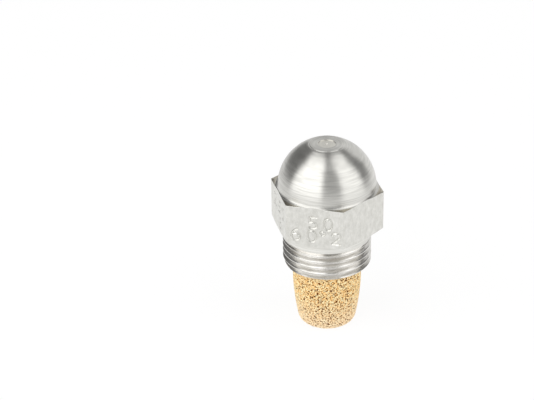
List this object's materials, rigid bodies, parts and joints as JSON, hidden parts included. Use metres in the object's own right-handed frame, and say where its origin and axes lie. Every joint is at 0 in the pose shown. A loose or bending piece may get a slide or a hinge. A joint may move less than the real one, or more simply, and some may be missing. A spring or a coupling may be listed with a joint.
{
  "type": "oil burner nozzle",
  "caption": "Domed hexagonal pressure-jet oil burner nozzle with a threaded shank, lock screw, distributor and sintered filter.",
  "frame": {"origin": "centre of the filter's flat base, on the axis that all pieces share", "axes": "+Z along the axis towards the orifice; +X through a corner of the hexagon; -Y out of the stamped flat"},
  "size_m": [0.0184, 0.0158, 0.0318],
  "materials": {
    "stainless_steel": "fine turned, bare stainless steel",
    "orifice_steel": "lapped stainless steel",
    "brass": "fine turned brass",
    "sintered_bronze": "bare sintered bronze, open grain"
  },
  "bodies": {
    "nozzle": {"nozzle_body": "stainless_steel", "orifice_disc": "orifice_steel"},
    "metering": {"distributor": "brass"},
    "retainer": {"lock_screw": "brass"},
    "filter": {"filter_cup": "sintered_bronze", "filter_collar": "brass"}
  },
  "joints": [
    {"name": "distributor_slide", "type": "slide", "parent": "nozzle", "child": "metering", "axis": [0, 0, -1], "range_m": [0, 0.006]},
    {"name": "lock_screw_turn", "type": "hinge", "parent": "metering", "child": "retainer", "pos_m": [0, 0, 0.0188], "axis": [0, 0, -1], "range_deg": [0, 2160]},
    {"name": "filter_pull", "type": "slide", "parent": "retainer", "child": "filter", "axis": [0, 0, -1], "range_m": [0, 0.003]}
  ],
  "couplings": [
    {"joint": "distributor_slide", "follows": "lock_screw_turn", "m_per_rad": 0.00015915}
  ]
}
